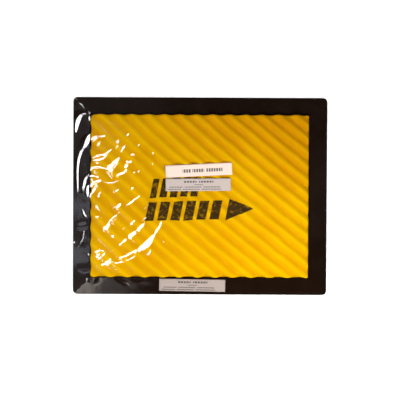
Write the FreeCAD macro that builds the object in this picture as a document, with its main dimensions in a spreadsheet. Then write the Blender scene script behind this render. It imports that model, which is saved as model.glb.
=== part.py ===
import FreeCAD, Part
import math
import os
import Sketcher

# A flat panel air filter: a ribbed coarse foam pad on a fine foam pad and a welded wire grid, all
# held by a moulded polyurethane rim, closed in a clear film wrap with its paper labels.
# Frame: the filter lies on its clean side, +Z up, +X along its length, and the origin is at the
# centre of the wrap's underside. Sizes are in millimetres and degrees.

# alias, value, what it is
DIMENSIONS = (
    ("rim_length", 300, "rim, outside, along X"),
    ("rim_width", 233, "rim, outside, along Y"),
    ("rim_corner", 5.5, "rim, outside corner radius in plan"),
    ("rim_base", 0.3, "height of the rim's sealing face over the origin"),
    ("rim_height", 36, "rim, sealing face to top face"),
    ("opening_length", 257, "opening that the foam sits in, along X"),
    ("opening_width", 191, "opening that the foam sits in, along Y"),
    ("opening_corner", 3, "corner radius of that opening"),
    ("lip_width", 6, "inward lip under the grid"),
    ("lip_height", 3.2, "thickness of that lip"),
    ("groove_width", 3, "each groove between the sealing lips"),
    ("groove_depth", 1.5, "depth of those grooves"),
    ("outer_groove", 5, "outer groove, in from the rim's outside"),
    ("inner_groove", 12, "inner groove, in from the rim's outside"),
    ("groove_corner", 3, "inside corner radius of the grooves"),
    ("rim_top_round", 2.2, "rounding of the rim's top outer edge"),
    ("rim_base_round", 1.5, "rounding of the rim's bottom outer edge"),
    ("opening_round", 1.2, "rounding of the opening's top edge"),
    ("foam_gap", 0.1, "gap between the foam's sides and the rim"),
    ("foam_corner", 2.9, "corner radius of the foam pads"),
    ("fine_height", 10, "thickness of the fine foam pad"),
    ("coarse_height", 23.9, "thickness of the coarse foam pad at a crest"),
    ("rib_pitch", 12.93, "crest to crest, across the ribs"),
    ("rib_depth", 6, "crest to valley"),
    ("rib_angle", 40.5, "how far the ribs run down from +X"),
    ("crest_flat", 0.8, "flat left along each crest"),
    ("crest_round", 2.4, "radius of a crest's shoulders"),
    ("valley_round", 1.9, "radius of a valley's floor"),
    ("valley_count", 25, "valleys cut across the pad"),
    ("valley_shift", -3.6, "middle valley's floor, across the ribs from the centre"),
    ("border_wire", 2.4, "diameter of the grid's border wire"),
    ("border_inset", 1.8, "centre of the border wire, in from the opening"),
    ("border_corner", 6, "bend of the border wire, at its centre"),
    ("grid_wire", 1.6, "diameter of the grid's other wires"),
    ("grid_pitch", 12.5, "wire to wire, both ways"),
    ("long_count", 14, "wires along X"),
    ("cross_count", 20, "wires along Y"),
    ("film_gauge", 0.2, "wall of the wrap"),
    ("film_corner", 4, "corner radius of the wrap in plan"),
    ("film_out", 0.25, "wrap's inside, out from the rim"),
    ("film_over", 0.35, "wrap's inside, over the rim's top"),
    ("film_bevel", 1.3, "wrap's bevel round the rim's top edge, out and down"),
    ("film_foam_out", 0.5, "wrap's inside, out from the foam's edge"),
    ("film_foam_gap", 0.1, "wrap's inside, over the crests"),
    ("weld_level", 14, "height of the wrap's weld"),
    ("weld_width", 0.75, "weld fin, outward"),
    ("weld_height", 0.5, "weld fin, thickness"),
    ("paper", 0.15, "thickness of the labels"),
    ("paper_corner", 0.8, "corner radius of the labels"),
    ("notice_length", 79.7, "notice label"),
    ("notice_width", 13.9, "notice label"),
    ("notice_x", -0.8, "notice label, centre"),
    ("notice_y", 29.5, "notice label, centre"),
    ("notice_tilt", 2.6, "notice label, turned anticlockwise"),
    ("stock_length", 78.2, "both stock labels"),
    ("stock_width", 14.4, "both stock labels"),
    ("wrap_stock_x", -1.4, "stock label on the wrap, centre"),
    ("wrap_stock_y", 12.4, "stock label on the wrap, centre"),
    ("wrap_stock_tilt", 0.4, "stock label on the wrap, turned anticlockwise"),
    ("rim_stock_x", -8.7, "stock label on the rim, centre"),
    ("rim_stock_y", -105.6, "stock label on the rim, centre"),
    ("rim_stock_tilt", -0.7, "stock label on the rim, turned anticlockwise"),
)

# Heights and plans that several sub-parts share, as expressions of the sheet.
RIM_TOP = "size.rim_base + size.rim_height"
GRID_BASE = "size.rim_base + size.lip_height"
GRID_TOP = f"{GRID_BASE} + size.border_wire + 2 * size.grid_wire"
COARSE_BASE = f"{GRID_TOP} + size.fine_height"
CREST = f"{COARSE_BASE} + size.coarse_height"
FOAM_PLAN = (
    "size.opening_length - 2 * size.foam_gap",
    "size.opening_width - 2 * size.foam_gap",
    "size.foam_corner",
)

# The first valley's floor, across the ribs from the centre.
FIRST_VALLEY = "size.valley_shift - size.rib_pitch * (size.valley_count - 1) / 2"

UP_IN_SKETCH = FreeCAD.Vector(0, 1, 0)
NEAREST = 0.01  # an edge belongs to a ring if it lies this close to it


def write_dimensions(doc):
    """Writes the sheet that every size comes from."""
    sheet = doc.addObject("Spreadsheet::Sheet", "size")
    for row, (alias, value, words) in enumerate(DIMENSIONS, start=1):
        sheet.set(f"A{row}", words)
        sheet.set(f"B{row}", str(value))
        sheet.setAlias(f"B{row}", alias)
    doc.recompute()
    return sheet


def value(doc, expression):
    """What an expression of the sheet comes to."""
    return float(doc.getObject("size").evalExpression(expression))


def new_body(doc, name):
    body = doc.addObject("PartDesign::Body", name)
    body.Label = name
    return body


def body_sketch(body, name, role="XY_Plane"):
    """A sketch on one of its body's origin planes."""
    sketch = body.newObject("Sketcher::SketchObject", name)
    plane = next(f for f in body.Origin.OriginFeatures if f.Role == role)
    sketch.AttachmentSupport = [(plane, "")]
    sketch.MapMode = "FlatFace"
    return sketch


def dimension(sketch, name, expression, *constraint):
    """Adds a dimension under a name of its own and binds it to the sheet."""
    number = value(sketch.Document, expression)
    index = sketch.addConstraint(Sketcher.Constraint(*constraint, number))
    sketch.renameConstraint(index, name)
    sketch.setExpression(f"Constraints.{name}", expression)


def rounded_rectangle(sketch, plan, tag=""):
    """Draws a rectangle with round corners about the origin. plan is its length, width and
    corner radius, as expressions."""
    x, y, r = (value(sketch.Document, expression) for expression in plan)
    x, y = x / 2, y / 2
    first = sketch.GeometryCount
    vector, up = FreeCAD.Vector, FreeCAD.Vector(0, 0, 1)
    sides = (
        (vector(-x + r, -y), vector(x - r, -y)),
        (vector(x, -y + r), vector(x, y - r)),
        (vector(x - r, y), vector(-x + r, y)),
        (vector(-x, y - r), vector(-x, -y + r)),
    )
    centres = (
        vector(x - r, r - y),
        vector(x - r, y - r),
        vector(r - x, y - r),
        vector(r - x, r - y),
    )
    for start, end in sides:
        sketch.addGeometry(Part.LineSegment(start, end), False)
    for quarter, centre in enumerate(centres):
        start = math.radians(90 * quarter - 90)
        circle = Part.Circle(centre, up, r)
        sketch.addGeometry(Part.ArcOfCircle(circle, start, start + math.pi / 2), False)

    bottom, right, top, left = range(first, first + 4)
    for side in range(4):
        arc, after = first + 4 + side, first + (side + 1) % 4
        sketch.addConstraint(Sketcher.Constraint("Tangent", first + side, 2, arc, 1))
        sketch.addConstraint(Sketcher.Constraint("Tangent", arc, 2, after, 1))
        if side:
            sketch.addConstraint(Sketcher.Constraint("Equal", first + 4, arc))
    sketch.addConstraint(Sketcher.Constraint("Horizontal", top))
    sketch.addConstraint(Sketcher.Constraint("Vertical", left))
    sketch.addConstraint(Sketcher.Constraint("Symmetric", bottom, 1, bottom, 2, -2))
    sketch.addConstraint(Sketcher.Constraint("Symmetric", right, 1, right, 2, -1))
    dimension(sketch, f"length{tag}", plan[0], "DistanceX", left, 1, right, 1)
    dimension(sketch, f"width{tag}", plan[1], "DistanceY", bottom, 1, top, 1)
    dimension(sketch, f"corner{tag}", plan[2], "Radius", first + 4)


def plan_sketch(body, name, height, *plans):
    """A level sketch in a body, with one or two rounded rectangles."""
    sketch = body_sketch(body, name)
    sketch.setExpression("AttachmentOffset.Base.z", height)
    for number, plan in enumerate(plans):
        rounded_rectangle(sketch, plan, str(number))
    return sketch


def pad(body, name, sketch, height):
    feature = body.newObject("PartDesign::Pad", name)
    feature.Profile = sketch
    feature.setExpression("Length", height)
    return feature


def pocket_up(body, name, sketch, depth=None):
    """Cuts upward from a sketch, to a depth or right through."""
    feature = body.newObject("PartDesign::Pocket", name)
    feature.Profile = sketch
    feature.Reversed = True
    if depth is None:
        feature.Type = "ThroughAll"
    else:
        feature.setExpression("Length", depth)
    return feature


def ring_edges(shape, height, length, width):
    """The edges of a shape that lie level at a height on the outline length by width."""
    names = []
    for index, edge in enumerate(shape.Edges, start=1):
        box = edge.BoundBox
        level = abs(box.ZMin - height) < NEAREST and abs(box.ZMax - height) < NEAREST
        on_end = abs(max(-box.XMin, box.XMax) - length / 2) < NEAREST
        on_side = abs(max(-box.YMin, box.YMax) - width / 2) < NEAREST
        if level and (on_end or on_side):
            names.append(f"Edge{index}")
    return names


def round_ring(doc, body, name, radius, height, length, width):
    """Rounds one level ring of a body's edges. Each argument after name is an expression."""
    doc.recompute()
    base = body.Tip
    ring = [value(doc, expression) for expression in (height, length, width)]
    feature = body.newObject("PartDesign::Fillet", name)
    feature.Base = (base, ring_edges(base.Shape, *ring))
    feature.setExpression("Radius", radius)
    body.Tip = feature


def make_rim(doc):
    """The moulded rim: a wall round the foam with an inward lip that carries the grid, and two
    grooves round its underside that leave three sealing lips."""
    body = new_body(doc, "seal_rim")
    outside = ("size.rim_length", "size.rim_width", "size.rim_corner")
    opening = ("size.opening_length", "size.opening_width", "size.opening_corner")
    window = (
        "size.opening_length - 2 * size.lip_width",
        "size.opening_width - 2 * size.lip_width",
        "size.opening_corner",
    )
    base = "size.rim_base"
    pad(body, "wall", plan_sketch(body, "wall_plan", base, outside), "size.rim_height")
    pocket_up(body, "foam_seat", plan_sketch(body, "seat_plan", GRID_BASE, opening))
    pocket_up(body, "air_window", plan_sketch(body, "window_plan", base, window))
    for name in ("outer_groove", "inner_groove"):
        groove_outside = (
            f"size.rim_length - 2 * size.{name}",
            f"size.rim_width - 2 * size.{name}",
            "size.groove_corner + size.groove_width",
        )
        groove_inside = (
            f"{groove_outside[0]} - 2 * size.groove_width",
            f"{groove_outside[1]} - 2 * size.groove_width",
            "size.groove_corner",
        )
        plan = plan_sketch(body, f"{name}_plan", base, groove_outside, groove_inside)
        body.Tip = pocket_up(body, name, plan, "size.groove_depth")
    round_ring(doc, body, "base_round", "size.rim_base_round", base, *outside[:2])
    round_ring(doc, body, "top_round", "size.rim_top_round", RIM_TOP, *outside[:2])
    round_ring(doc, body, "opening_round", "size.opening_round", RIM_TOP, *opening[:2])
    return body


def make_fine_foam(doc):
    """The second, finer foam stage, which lies on the grid."""
    body = new_body(doc, "fine_foam")
    plan = plan_sketch(body, "fine_plan", GRID_TOP, FOAM_PLAN)
    body.Tip = pad(body, "fine_pad", plan, "size.fine_height")
    return body


def draw_valley(doc, sketch):
    """One valley's section: a round floor, two straight flanks and two round shoulders, closed
    along the crests. The flanks' slope follows from the pitch, the depth and the two radii."""
    sizes = ("rib_pitch - size.crest_flat", "rib_depth", "crest_round", "valley_round")
    width, depth, shoulder, floor = (value(doc, f"size.{name}") for name in sizes)
    half, rise, reach = width / 2, depth - shoulder - floor, shoulder + floor
    slope = math.atan2(rise, half) + math.asin(reach / math.hypot(half, rise))
    right_angle = math.pi / 2
    vector, up = FreeCAD.Vector, FreeCAD.Vector(0, 0, 1)
    middle = vector(value(doc, FIRST_VALLEY), value(doc, CREST))
    floor_centre = middle + vector(0, floor - depth)
    across, rising = math.sin(slope), math.cos(slope)

    def flank(side):
        low = floor_centre + vector(side * across, -rising) * floor
        high = middle + vector(side * (half - across * shoulder), (rising - 1) * shoulder)
        return Part.LineSegment(low, high)

    def arc(centre, radius, start, end):
        return Part.ArcOfCircle(Part.Circle(centre, up, radius), start, end)

    right_centre = middle + vector(half, -shoulder)
    left_centre = middle + vector(-half, -shoulder)
    for piece in (
        arc(floor_centre, floor, -right_angle - slope, slope - right_angle),
        flank(1),
        arc(right_centre, shoulder, right_angle, right_angle + slope),
        Part.LineSegment(middle + vector(half, 0), middle - vector(half, 0)),
        arc(left_centre, shoulder, right_angle - slope, right_angle),
        flank(-1),
    ):
        sketch.addGeometry(piece, False)

    ground, right, right_shoulder, top, left_shoulder, left = range(6)
    for tangent in (
        (ground, 2, right, 1),
        (right, 2, right_shoulder, 2),
        (left, 2, left_shoulder, 1),
        (ground, 1, left, 1),
        (right_shoulder, 1, top, 1),
        (left_shoulder, 2, top, 2),
    ):
        sketch.addConstraint(Sketcher.Constraint("Tangent", *tangent))
    sketch.addConstraint(Sketcher.Constraint("Horizontal", top))
    sketch.addConstraint(Sketcher.Constraint("Equal", right_shoulder, left_shoulder))
    dimension(sketch, "width", "size.rib_pitch - size.crest_flat", "Distance", top)
    dimension(sketch, "shoulder", "size.crest_round", "Radius", right_shoulder)
    dimension(sketch, "floor", "size.valley_round", "Radius", ground)
    floor_drop = "size.rib_depth - size.valley_round"
    dimension(sketch, "depth", floor_drop, "DistanceY", ground, 3, top, 1)
    dimension(sketch, "level", CREST, "DistanceY", -1, 1, top, 1)
    dimension(sketch, "place", f"-({FIRST_VALLEY})", "DistanceX", ground, 3, -1, 1)


def make_coarse_foam(doc):
    """The first, coarse foam stage, with valleys cut across its top at an angle."""
    body = new_body(doc, "coarse_foam")
    plan = plan_sketch(body, "coarse_plan", COARSE_BASE, FOAM_PLAN)
    pad(body, "coarse_block", plan, "size.coarse_height")
    section = body_sketch(body, "valley_section", "YZ_Plane")
    section.AttachmentOffset = FreeCAD.Placement(FreeCAD.Vector(), FreeCAD.Rotation(UP_IN_SKETCH, -1))
    section.setExpression("AttachmentOffset.Rotation.Angle", "-size.rib_angle")
    draw_valley(doc, section)
    doc.recompute()
    valley = pocket_up(body, "valley", section)
    valley.Midplane = True
    doc.recompute()
    valleys = body.newObject("PartDesign::LinearPattern", "valleys")
    valleys.Originals = [valley]
    valleys.Direction = (section, ["H_Axis"])
    valleys.setExpression("Length", "size.rib_pitch * (size.valley_count - 1)")
    valleys.setExpression("Occurrences", "size.valley_count")
    body.Tip = valleys
    return body


def bound(feature, **expressions):
    """Binds a feature's properties to expressions, with Base_x standing for Placement.Base.x."""
    for name, expression in expressions.items():
        path = name.replace("Base_", "Placement.Base.")
        feature.setExpression(path, expression)
    return feature


def make_border_wire(doc):
    """The grid's border: one wire bent round the opening and welded to itself."""
    body = new_body(doc, "grid_border_wire")
    plan = (
        "size.opening_length - 2 * size.border_inset",
        "size.opening_width - 2 * size.border_inset",
        "size.border_corner",
    )
    level = f"{GRID_BASE} + size.border_wire / 2"
    path = plan_sketch(body, "border_path", level, plan)
    section = body_sketch(body, "border_section", "YZ_Plane")
    start = f"{plan[2]} - ({plan[0]}) / 2"
    section.setExpression("AttachmentOffset.Base.z", start)
    radius = value(doc, "size.border_wire / 2")
    centre = FreeCAD.Vector(-value(doc, plan[1]) / 2, value(doc, level))
    section.addGeometry(Part.Circle(centre, FreeCAD.Vector(0, 0, 1), radius), False)
    dimension(section, "diameter", "size.border_wire", "Diameter", 0)
    dimension(section, "inset", f"({plan[1]}) / 2", "DistanceX", 0, 3, -1, 1)
    dimension(section, "level", level, "DistanceY", -1, 1, 0, 3)
    pipe = body.newObject("PartDesign::AdditivePipe", "border_pipe")
    pipe.Profile = section
    pipe.Spine = (path, [f"Edge{index}" for index in range(1, 9)])
    body.Tip = pipe
    return body


def make_wires(doc, name, run, across, level):
    """A row of straight wires, each of them run long, stepped along the other level axis."""
    along_x = across == "y"
    axis = FreeCAD.Vector(0, 1, 0) if along_x else FreeCAD.Vector(-1, 0, 0)
    count = f"size.{name}_count"
    wires = []
    for number in range(round(value(doc, count))):
        wire = doc.addObject("Part::Cylinder", f"{name}_wire_{number + 1}")
        wire.Placement = FreeCAD.Placement(FreeCAD.Vector(), FreeCAD.Rotation(axis, 90))
        step = f"({number} - ({count} - 1) / 2) * size.grid_pitch"
        places = {f"Base_{across}": step, f"Base_{'x' if along_x else 'y'}": f"-({run}) / 2"}
        bound(wire, Radius="size.grid_wire / 2", Height=run, Base_z=level, **places)
        wires.append(wire)
    group = doc.addObject("Part::Compound", f"{name}_wires")
    group.Label = f"grid_{name}_wires"
    group.Links = wires
    return group


def make_grid(doc):
    """The welded grid under the foam: a border wire, wires along X on it, wires along Y on those."""
    reach = "size.border_wire - 2 * size.border_inset"
    long_level = f"{GRID_BASE} + size.border_wire + size.grid_wire / 2"
    cross_level = f"{long_level} + size.grid_wire"
    return [
        make_border_wire(doc),
        make_wires(doc, "long", f"size.opening_length + {reach}", "y", long_level),
        make_wires(doc, "cross", f"size.opening_width + {reach}", "x", cross_level),
    ]


def loft(doc, name, sections):
    """A solid between level rounded rectangles. Each section is a height, and how far its
    ends and its sides stand outside those of the rim, as expressions."""
    sketches = []
    for number, (height, ends, sides) in enumerate(sections, start=1):
        sketch = doc.addObject("Sketcher::SketchObject", f"{name}_section_{number}")
        sketch.setExpression("Placement.Base.z", height)
        length = f"size.rim_length + 2 * ({ends})"
        width = f"size.rim_width + 2 * ({sides})"
        rounded_rectangle(sketch, (length, width, "size.film_corner"))
        sketches.append(sketch)
    solid = doc.addObject("Part::Loft", name)
    solid.Sections = sketches
    solid.Solid = True
    solid.Ruled = True
    return solid


def cut(doc, name, base, tool):
    feature = doc.addObject("Part::Cut", name)
    feature.Base = base
    feature.Tool = tool
    return feature


def film_half(doc, name, sections):
    """Half of the wrap: a loft over its outside less one over its inside. Each section is the
    inside's height, how far the outside stands over that, and the inside's ends and sides."""
    outside = [
        (f"{height} + {over}", f"{ends} + size.film_gauge", f"{sides} + size.film_gauge")
        for height, over, ends, sides in sections
    ]
    inside = [(height, ends, sides) for height, _, ends, sides in sections]
    envelope = loft(doc, f"{name}_outside", outside)
    film = cut(doc, f"{name}_film", envelope, loft(doc, f"{name}_inside", inside))
    film.Label = f"wrap_{name}_film"
    return film, envelope


def make_wrap(doc):
    """The clear film wrap: a tray and a lid that meet at the weld, and the weld's fin."""
    gauge = "size.film_gauge"
    out = "size.film_out"
    weld = ("size.weld_level", "0", out, out)
    rim_film = f"{RIM_TOP} + size.film_over"
    edge = (f"{rim_film} - size.film_bevel", gauge, out, out)
    shoulder = f"{out} - size.film_bevel"
    crest_ends = "size.film_foam_out + (size.opening_length - size.rim_length) / 2"
    crest_sides = "size.film_foam_out + (size.opening_width - size.rim_width) / 2"
    bottom, tray = film_half(doc, "bottom", [(gauge, f"-{gauge}", out, out), weld])
    top, lid = film_half(doc, "top", [
        weld,
        edge,
        (rim_film, gauge, shoulder, shoulder),
        (f"{CREST} + size.film_foam_gap", gauge, crest_ends, crest_sides),
    ])
    return [bottom, top, make_weld_fin(doc, tray, lid)]


def make_weld_fin(doc, tray, lid):
    """The weld's fin, which stands out all round the wrap."""
    over = "2 * (size.film_out + size.film_gauge + size.weld_width)"
    plan = (f"size.rim_length + {over}", f"size.rim_width + {over}", "size.film_corner")
    level = "size.weld_level - size.weld_height / 2"
    plate = new_body(doc, "weld_plate")
    plate_plan = plan_sketch(plate, "weld_plan", level, plan)
    plate.Tip = pad(plate, "weld_pad", plate_plan, "size.weld_height")
    fin = cut(doc, "weld_off_tray", plate, tray)
    fin = cut(doc, "weld_fin", fin, lid)
    fin.Label = "wrap_weld_fin"
    return fin


def make_label(doc, name, size, level):
    """A paper label, drawn about its own centre, then placed and turned."""
    body = new_body(doc, f"{name}_label")
    plan = (f"size.{size}_length", f"size.{size}_width", "size.paper_corner")
    body.Tip = pad(body, f"{name}_pad", plan_sketch(body, f"{name}_plan", "0", plan), "size.paper")
    body.Placement.Rotation = FreeCAD.Rotation(FreeCAD.Vector(0, 0, 1), 1)
    body.setExpression("Placement.Rotation.Angle", f"size.{name}_tilt")
    return bound(body, Base_x=f"size.{name}_x", Base_y=f"size.{name}_y", Base_z=level)


def make_labels(doc):
    """A printed notice and a stock label on the wrap, and a stock label on the rim under it."""
    wrap_top = f"{CREST} + size.film_foam_gap + size.film_gauge"
    return [
        make_label(doc, "notice", "notice", wrap_top),
        make_label(doc, "wrap_stock", "stock", wrap_top),
        make_label(doc, "rim_stock", "stock", RIM_TOP),
    ]


def check(doc, parts):
    """Stops if anything failed to recompute, or if a sub-part has no valid shape."""
    failed = [item.Name for item in doc.Objects if {"Invalid", "Error"} & set(item.State)]
    failed += [part.Label for part in parts if part.Shape.isNull() or not part.Shape.isValid()]
    if failed:
        raise RuntimeError("these failed: " + ", ".join(failed))


def main():
    doc = FreeCAD.newDocument("panel_air_filter")
    write_dimensions(doc)
    parts = [make_rim(doc), make_fine_foam(doc), make_coarse_foam(doc)]
    parts += make_grid(doc) + make_wrap(doc) + make_labels(doc)
    doc.recompute()
    check(doc, parts)
    os.makedirs("parts", exist_ok=True)
    for part in parts:
        part.Shape.exportStep(f"parts/{part.Label}.step")
        print(f"{part.Label}: {len(part.Shape.Solids)} solids, {part.Shape.Volume:.0f} mm3")


main()
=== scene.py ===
import math

import bpy
import numpy as np
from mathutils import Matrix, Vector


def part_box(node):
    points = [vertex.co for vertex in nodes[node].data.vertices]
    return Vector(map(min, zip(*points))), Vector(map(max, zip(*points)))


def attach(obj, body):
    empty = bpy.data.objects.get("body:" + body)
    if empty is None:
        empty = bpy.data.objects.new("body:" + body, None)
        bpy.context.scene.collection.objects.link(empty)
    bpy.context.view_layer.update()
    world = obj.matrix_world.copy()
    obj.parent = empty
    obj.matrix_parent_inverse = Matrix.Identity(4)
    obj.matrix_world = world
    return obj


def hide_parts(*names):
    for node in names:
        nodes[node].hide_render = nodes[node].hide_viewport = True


# A flat panel air filter in its clear wrap, seen from above. The rim, the wire grid and the weld fin
# come from the CAD frame. The foams, the wrap and the labels are modelled here.
# Lengths are in metres; numbers given in millimetres are multiplied by MM.

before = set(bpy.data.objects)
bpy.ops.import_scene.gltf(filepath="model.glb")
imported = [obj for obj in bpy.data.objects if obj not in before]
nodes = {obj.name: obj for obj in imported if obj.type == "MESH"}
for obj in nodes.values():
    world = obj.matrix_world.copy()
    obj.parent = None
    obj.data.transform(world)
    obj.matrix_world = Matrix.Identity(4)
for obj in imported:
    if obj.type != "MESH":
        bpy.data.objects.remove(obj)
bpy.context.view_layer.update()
MM = 0.001


# ---------------------------------------------------------------- places, from the frame

def node_box(name):
    low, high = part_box(name)
    return np.array(low), np.array(high)


_, rim_high = node_box("seal_rim")
coarse_low, coarse_high = node_box("coarse_foam")
fine_low, fine_high = node_box("fine_foam")
_, film_high = node_box("wrap_top_film")
_, tray_high = node_box("wrap_bottom_film")
fin_low, fin_high = node_box("wrap_weld_fin")

FOAM_X, FOAM_Y = coarse_high[0], coarse_high[1]
CREST = coarse_high[2]
COARSE_BASE = coarse_low[2]
RIM_TOP = rim_high[2]
RIM_X, RIM_Y = rim_high[0], rim_high[1]
WELD = (fin_low[2] + fin_high[2]) / 2

# ---------------------------------------------------------------- the ribs

RIB_ANGLE = math.radians(40.5)  # how far they run down from +X
RIB_PITCH = 13.05 * MM
RIB_PHASE = 0.64  # cycles at the pad's centre
RIB_DEPTH = 2.6 * MM
RIB_WANDER = 0.035  # cycles
# The ribs aren't quite straight or parallel. These are in cycles per square metre.
FAN = 22.7
BOW = -9.6
CLOSE_UP = 6.4


def rib_phase(x, y):
    """Cycles of the ribs: whole numbers are crests."""
    along = (x * math.sin(RIB_ANGLE) + y * math.cos(RIB_ANGLE)) / RIB_PITCH
    return along + FAN * x * y + BOW * x * x + CLOSE_UP * y * y + RIB_PHASE


def waves(x, y, count, longest, shortest, seed):
    """Smooth seeded unevenness, as a sum of plane waves. It mostly lies between -1 and 1."""
    draw = np.random.default_rng(seed)
    total = np.zeros_like(x)
    for _ in range(count):
        length = shortest * (longest / shortest) ** draw.random()
        turn, start = draw.random(2) * 2 * math.pi
        total += np.sin((x * math.cos(turn) + y * math.sin(turn)) * 2 * math.pi / length + start)
    spread = math.sqrt(count / 2)
    return total / (1.5 * spread)


def smooth(value, low, high):
    """0 below low, 1 above high, and a smooth climb between them."""
    t = np.clip((value - low) / (high - low), 0, 1)
    return t * t * (3 - 2 * t)


def rib_sink(x, y):
    """How far the foam's top lies under its crests."""
    cycles = rib_phase(x, y) + RIB_WANDER * waves(x, y, 14, 90 * MM, 30 * MM, 3)
    return RIB_DEPTH * (0.5 - 0.5 * np.cos(2 * math.pi * cycles))


# ---------------------------------------------------------------- meshes over a round-cornered plan

def shell_axis(half, step, rings, bend=None):
    """One axis of a shell's grid: places on the flat, and how many rings past its edge. A line of
    the grid runs along each bend."""
    if bend is None:
        flat = np.linspace(-half, half, max(2, round(2 * half / step)) + 1)
    else:
        inner = np.linspace(-bend, bend, 2 * round(bend / step) + 1)
        outer = np.linspace(bend, half, round((half - bend) / step) + 1)[1:]
        flat = np.concatenate([-outer[::-1], inner, outer])
    place = np.concatenate([np.full(rings, -half), flat, np.full(rings, half)])
    past = np.concatenate([np.arange(-rings, 0), np.zeros(len(flat)), np.arange(1, rings + 1)])
    return place, past


def shell(name, half_x, half_y, step, rings, shape, closed=True, bends=(None, None)):
    """A grid over a rectangle, with rings that go on over its edges and round its corners.
    shape(x, y, out_x, out_y, ring) gives the points. The last ring is closed by one face. bends
    are the half sizes of a rectangle along which the surface turns sharply."""
    place_x, past_x = shell_axis(half_x, step, rings, bends[0])
    place_y, past_y = shell_axis(half_y, step, rings, bends[1])
    x, y = np.meshgrid(place_x, place_y, indexing="ij")
    over_x, over_y = np.meshgrid(past_x, past_y, indexing="ij")
    ring = np.maximum(abs(over_x), abs(over_y))
    length = np.maximum(np.hypot(over_x, over_y), 1e-9)
    points = shape(x, y, over_x / length, over_y / length, ring.astype(int))
    columns, rows = x.shape
    index = np.arange(columns * rows).reshape(columns, rows)
    quads = np.stack([index[:-1, :-1], index[1:, :-1], index[1:, 1:], index[:-1, 1:]], -1)
    faces = quads.reshape(-1, 4).tolist()
    if closed:
        border = [*index[:, 0], *index[-1, 1:], *index[-2::-1, -1], *index[0, -2:0:-1]]
        faces.append([int(i) for i in reversed(border)])
    mesh = bpy.data.meshes.new(name)
    mesh.from_pydata(np.stack(points, -1).reshape(-1, 3).tolist(), [], faces)
    mesh.polygons.foreach_set("use_smooth", [True] * len(mesh.polygons))
    if bends[0] is not None:
        on_x = (abs(abs(x) - bends[0]) < 1e-7) & (abs(y) < bends[1] + 1e-7)
        on_y = (abs(abs(y) - bends[1]) < 1e-7) & (abs(x) < bends[0] + 1e-7)
        ends = np.array([edge.vertices[:] for edge in mesh.edges])
        sharp = on_x.ravel()[ends].all(1) | on_y.ravel()[ends].all(1)
        mesh.attributes.new("sharp_edge", "BOOLEAN", "EDGE").data.foreach_set("value", sharp)
    mesh.update()
    piece = bpy.data.objects.new(name, mesh)
    bpy.context.scene.collection.objects.link(piece)
    return piece


# ---------------------------------------------------------------- foam pads

PAD_CORNER = 2.9 * MM
EDGE_ROUND = 1.4 * MM
ROUND_RINGS = 5
WALL_RINGS = 8
FOAM_STEP = 1.0 * MM
UNEVEN = 0.12 * MM
# How far the crests swell out over the rim, and how far the whole edge is drawn in, in millimetres,
# on the top, bottom, left and right sides of the plan.
SWELL = (0.9, 1.6, 0.9, 0.15)
DRAWN_IN = (-0.3, 0.9, 0.0, 0.5)


def by_side(out_x, out_y, values):
    """The value of the side that a point of the edge faces."""
    top, bottom, left, right = values
    end = np.where(out_x < 0, left, right)
    return np.where(out_y > 0.5, top, np.where(out_y < -0.5, bottom, end))


def make_coarse_foam():
    """The ribbed pad. Its crests swell out over the rim where they meet the edge."""
    flat_x, flat_y = FOAM_X - PAD_CORNER, FOAM_Y - PAD_CORNER

    def shape(x, y, out_x, out_y, ring):
        turn = np.clip(ring / ROUND_RINGS, 0, 1) * math.pi / 2
        down = np.clip((ring - ROUND_RINGS) / WALL_RINGS, 0, 1)
        edge = (PAD_CORNER - EDGE_ROUND) * np.clip(ring, 0, 1) + EDGE_ROUND * np.sin(turn)
        px, py = x + out_x * edge, y + out_y * edge
        sink = rib_sink(px, py)
        top = CREST - sink - UNEVEN * (1 + waves(px, py, 30, 70 * MM, 14 * MM, 5))
        z = top - EDGE_ROUND * (1 - np.cos(turn))
        z = z + down**1.3 * (COARSE_BASE - z)
        crest = 1 - sink / RIB_DEPTH
        swell = by_side(out_x, out_y, SWELL) * crest**1.2
        above_rim = smooth(z, RIM_TOP - 0.5 * MM, RIM_TOP + 3.5 * MM)
        bulge = (swell - by_side(out_x, out_y, DRAWN_IN)) * MM * above_rim * smooth(ring, 0, 3)
        return px + out_x * bulge, py + out_y * bulge, z

    rings = ROUND_RINGS + WALL_RINGS
    return shell("coarse_foam_pad", flat_x, flat_y, FOAM_STEP, rings, shape)


def make_fine_foam():
    """The plain pad under it."""
    flat_x, flat_y = FOAM_X - PAD_CORNER, FOAM_Y - PAD_CORNER
    top, base = fine_high[2], fine_low[2]
    soft = 0.8 * MM
    round_rings, wall_rings = 3, 3

    def shape(x, y, out_x, out_y, ring):
        turn = np.clip(ring / round_rings, 0, 1) * math.pi / 2
        down = np.clip((ring - round_rings) / wall_rings, 0, 1)
        edge = (PAD_CORNER - soft) * np.clip(ring, 0, 1) + soft * np.sin(turn)
        z = top - soft * (1 - np.cos(turn))
        z = z + down * (base - z)
        return x + out_x * edge, y + out_y * edge, z

    return shell("fine_foam_pad", flat_x, flat_y, 6 * MM, round_rings + wall_rings, shape)


coarse_pad = make_coarse_foam()
fine_pad = make_fine_foam()

# ---------------------------------------------------------------- the wrap

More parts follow.
